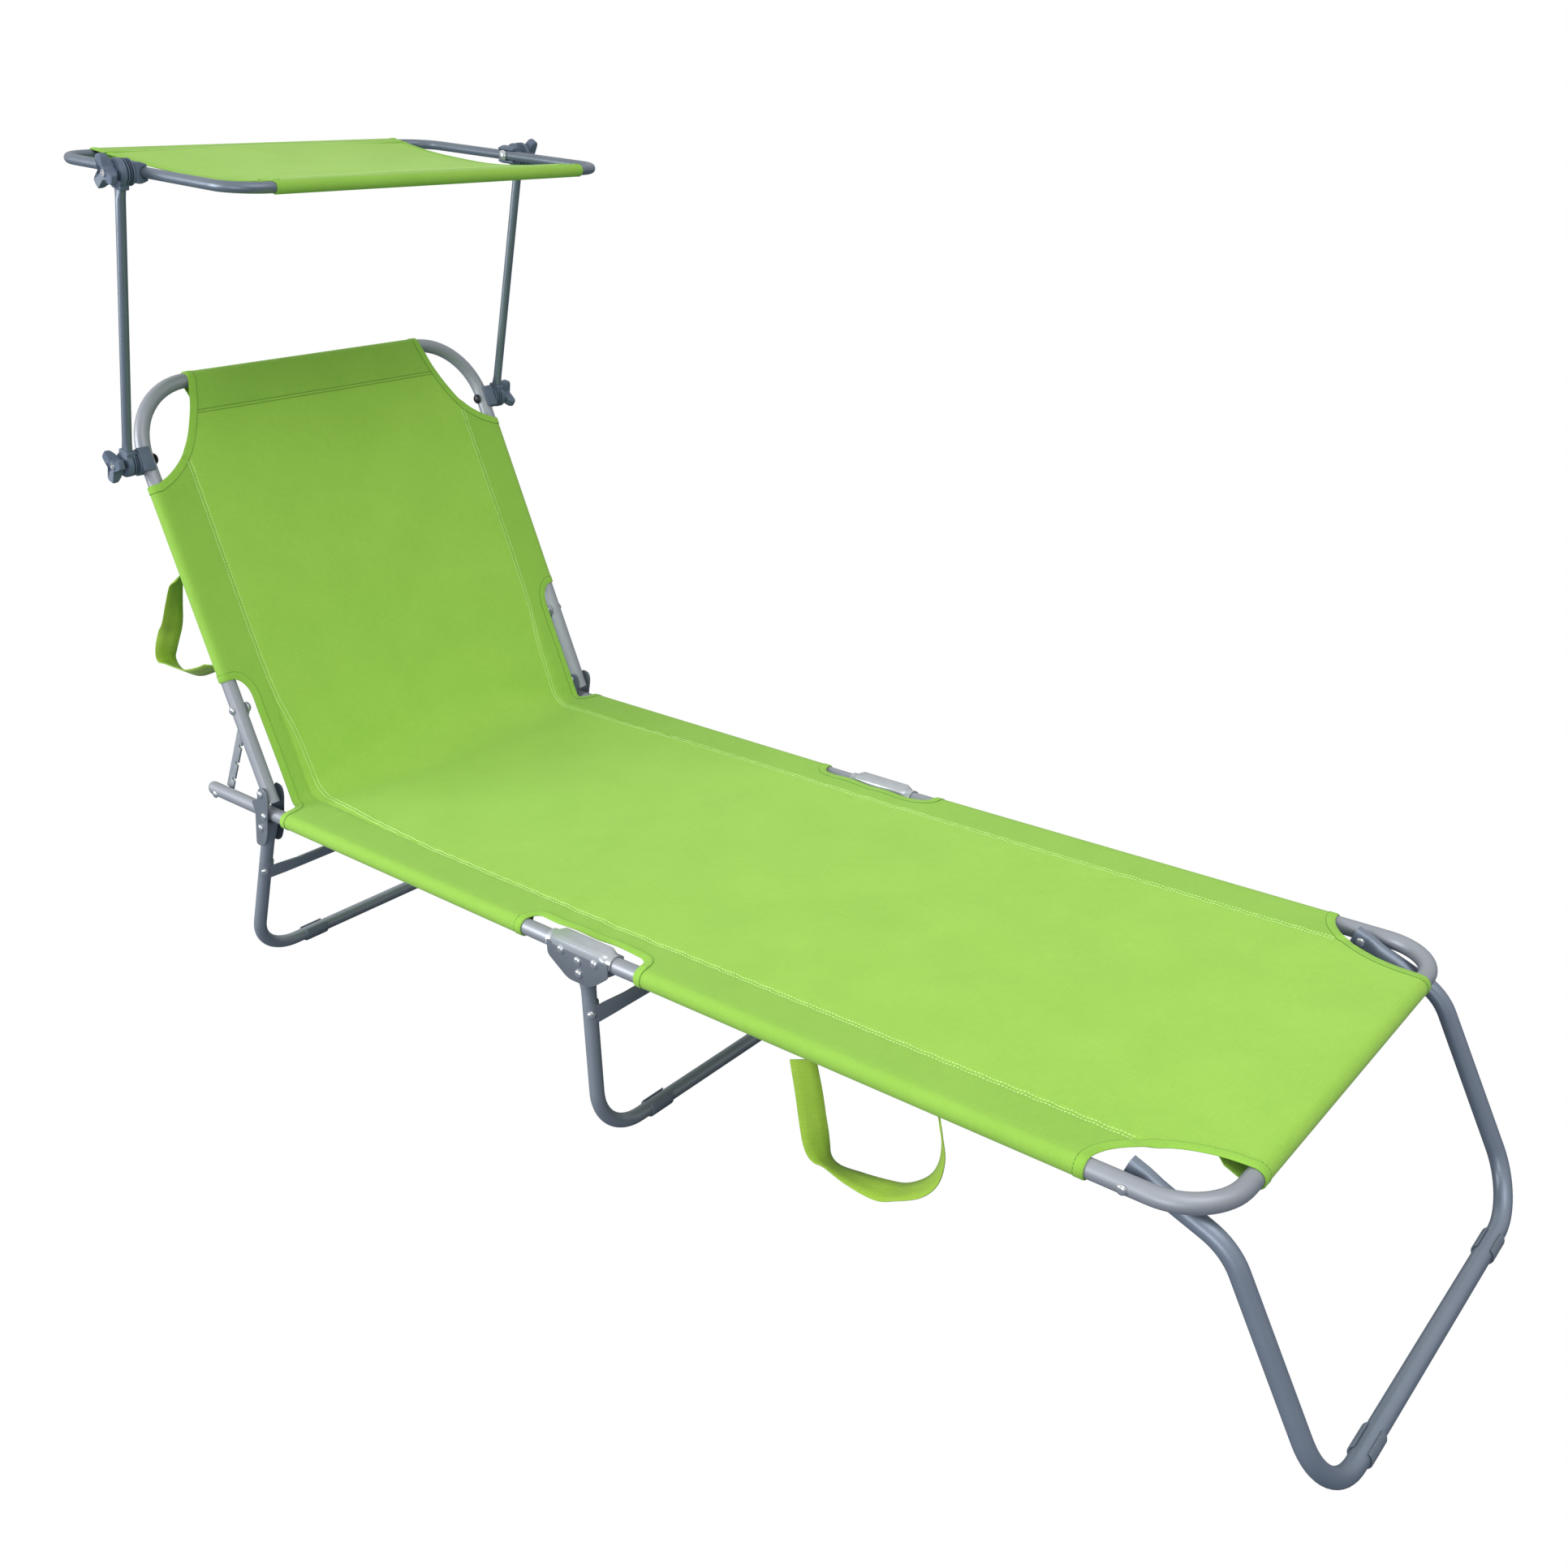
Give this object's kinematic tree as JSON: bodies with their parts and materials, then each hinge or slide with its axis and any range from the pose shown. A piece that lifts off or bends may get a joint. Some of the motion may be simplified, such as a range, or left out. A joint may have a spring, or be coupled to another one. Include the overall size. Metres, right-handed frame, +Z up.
{
  "type": "sun lounger",
  "caption": "Folding sun lounger with sling cloth on a tube frame, reclining back, folding legs and a tilting canopy on clamped arms.",
  "frame": {"origin": "on the floor under the middle of the object's box", "axes": "+X towards the foot end, +Y to the left of a person lying on it, +Z up"},
  "size_m": [1.7284, 0.6526, 1.0669],
  "materials": {
    "rail_paint": "satin silver powder coat",
    "leg_paint": "satin grey powder coat",
    "arm_paint": "satin slate powder coat",
    "zinc_plate": "zinc plated sheet",
    "rivet_steel": "bright rivet",
    "bolt_black": "black bolt",
    "clamp_plastic": "moulded nylon",
    "glide_plastic": "moulded clip",
    "sling_cloth": "woven polyester, green",
    "strap_webbing": "woven webbing, green"
  },
  "bodies": {
    "frame": {"seat_rail_right": "rail_paint", "seat_rail_left": "rail_paint", "hinge_plate_outer_right": "zinc_plate", "hinge_plate_outer_left": "zinc_plate", "hinge_plate_inner_right": "zinc_plate", "hinge_plate_inner_left": "zinc_plate", "hinge_rail_rivet_right": "rivet_steel", "hinge_rail_rivet_left": "rivet_steel", "mid_bracket_right": "zinc_plate", "mid_bracket_left": "zinc_plate", "bracket_rail_rivet_right": "rivet_steel", "bracket_rail_rivet_left": "rivet_steel", "seat_cloth": "sling_cloth"},
    "backrest": {"backrest_frame": "rail_paint", "backrest_cloth": "sling_cloth", "backrest_strap": "strap_webbing", "backrest_pivot_rivet_right": "rivet_steel", "backrest_pivot_rivet_left": "rivet_steel", "lower_saddle_right": "clamp_plastic", "lower_saddle_left": "clamp_plastic", "lower_bolt_right": "bolt_black", "lower_bolt_left": "bolt_black"},
    "strut_right": {"recline_strut_right": "zinc_plate"},
    "strut_left": {"recline_strut_left": "zinc_plate"},
    "foot_section": {"foot_frame": "rail_paint", "foot_cloth": "sling_cloth", "foot_strap": "strap_webbing", "foot_pivot_rivet_right": "rivet_steel", "foot_pivot_rivet_left": "rivet_steel"},
    "foot_leg": {"foot_leg_tube": "leg_paint", "foot_leg_glide_right": "glide_plastic", "foot_leg_glide_left": "glide_plastic"},
    "mid_leg": {"mid_leg_tube": "leg_paint", "mid_leg_brace": "leg_paint", "mid_leg_rivet_right": "rivet_steel", "mid_leg_rivet_left": "rivet_steel", "mid_leg_glide_right": "glide_plastic", "mid_leg_glide_left": "glide_plastic"},
    "head_leg": {"head_leg_tube": "leg_paint", "head_leg_brace": "leg_paint", "head_leg_rivet_right": "rivet_steel", "head_leg_rivet_left": "rivet_steel", "head_leg_glide_right": "glide_plastic", "head_leg_glide_left": "glide_plastic"},
    "canopy_arms": {"canopy_arm_right": "arm_paint", "canopy_arm_left": "arm_paint", "lower_hub_right": "clamp_plastic", "lower_hub_left": "clamp_plastic", "upper_hub_right": "clamp_plastic", "upper_hub_left": "clamp_plastic"},
    "canopy": {"canopy_frame": "arm_paint", "canopy_cloth": "sling_cloth", "upper_saddle_right": "clamp_plastic", "upper_saddle_left": "clamp_plastic", "upper_bolt_right": "bolt_black", "upper_bolt_left": "bolt_black"},
    "lower_knob_right": {"lower_knob_right": "clamp_plastic"},
    "lower_knob_left": {"lower_knob_left": "clamp_plastic"},
    "upper_knob_right": {"upper_knob_right": "clamp_plastic"},
    "upper_knob_left": {"upper_knob_left": "clamp_plastic"}
  },
  "joints": [
    {"name": "backrest_recline", "type": "hinge", "parent": "frame", "child": "backrest", "pos_m": [-0.5847, 0, 0.285], "axis": [0, 1, 0], "range_deg": [-65, 20]},
    {"name": "strut_right_swing", "type": "hinge", "parent": "backrest", "child": "strut_right", "pos_m": [-0.62867, 0, 0.38909], "axis": [0, 1, 0], "range_deg": [-14, 45]},
    {"name": "strut_left_swing", "type": "hinge", "parent": "backrest", "child": "strut_left", "pos_m": [-0.62867, 0, 0.38909], "axis": [0, 1, 0], "range_deg": [-14, 45]},
    {"name": "foot_fold", "type": "hinge", "parent": "frame", "child": "foot_section", "pos_m": [0.0268, 0, 0.254], "axis": [0, 1, 0], "range_deg": [0, 85]},
    {"name": "foot_leg_fold", "type": "hinge", "parent": "foot_section", "child": "foot_leg", "pos_m": [0.6543, 0, 0.26199], "axis": [0, 1, 0], "range_deg": [0, 115]},
    {"name": "mid_leg_fold", "type": "hinge", "parent": "frame", "child": "mid_leg", "pos_m": [0.0014, 0, 0.2334], "axis": [0, 1, 0], "range_deg": [0, 79]},
    {"name": "head_leg_fold", "type": "hinge", "parent": "frame", "child": "head_leg", "pos_m": [-0.5942, 0, 0.2346], "axis": [0, 1, 0], "range_deg": [-98, 0]},
    {"name": "canopy_arm_swing", "type": "hinge", "parent": "backrest", "child": "canopy_arms", "pos_m": [-0.75864, 0, 0.69677], "axis": [0, -1, 0], "range_deg": [-75, 75]},
    {"name": "canopy_tilt", "type": "hinge", "parent": "canopy_arms", "child": "canopy", "pos_m": [-0.66936, 0, 1.04449], "axis": [0, 1, 0], "range_deg": [-80, 80]},
    {"name": "lower_knob_right_turn", "type": "hinge", "parent": "backrest", "child": "lower_knob_right", "pos_m": [-0.75864, 0, 0.69677], "axis": [0, 1, 0], "continuous": true},
    {"name": "lower_knob_left_turn", "type": "hinge", "parent": "backrest", "child": "lower_knob_left", "pos_m": [-0.75864, 0, 0.69677], "axis": [0, 1, 0], "continuous": true},
    {"name": "upper_knob_right_turn", "type": "hinge", "parent": "canopy", "child": "upper_knob_right", "pos_m": [-0.66936, 0, 1.04449], "axis": [0, 1, 0], "continuous": true},
    {"name": "upper_knob_left_turn", "type": "hinge", "parent": "canopy", "child": "upper_knob_left", "pos_m": [-0.66936, 0, 1.04449], "axis": [0, 1, 0], "continuous": true}
  ],
  "couplings": [
    {"joint": "strut_right_swing", "follows": "backrest_recline", "ratio": -0.674},
    {"joint": "strut_left_swing", "follows": "backrest_recline", "ratio": -0.674}
  ]
}
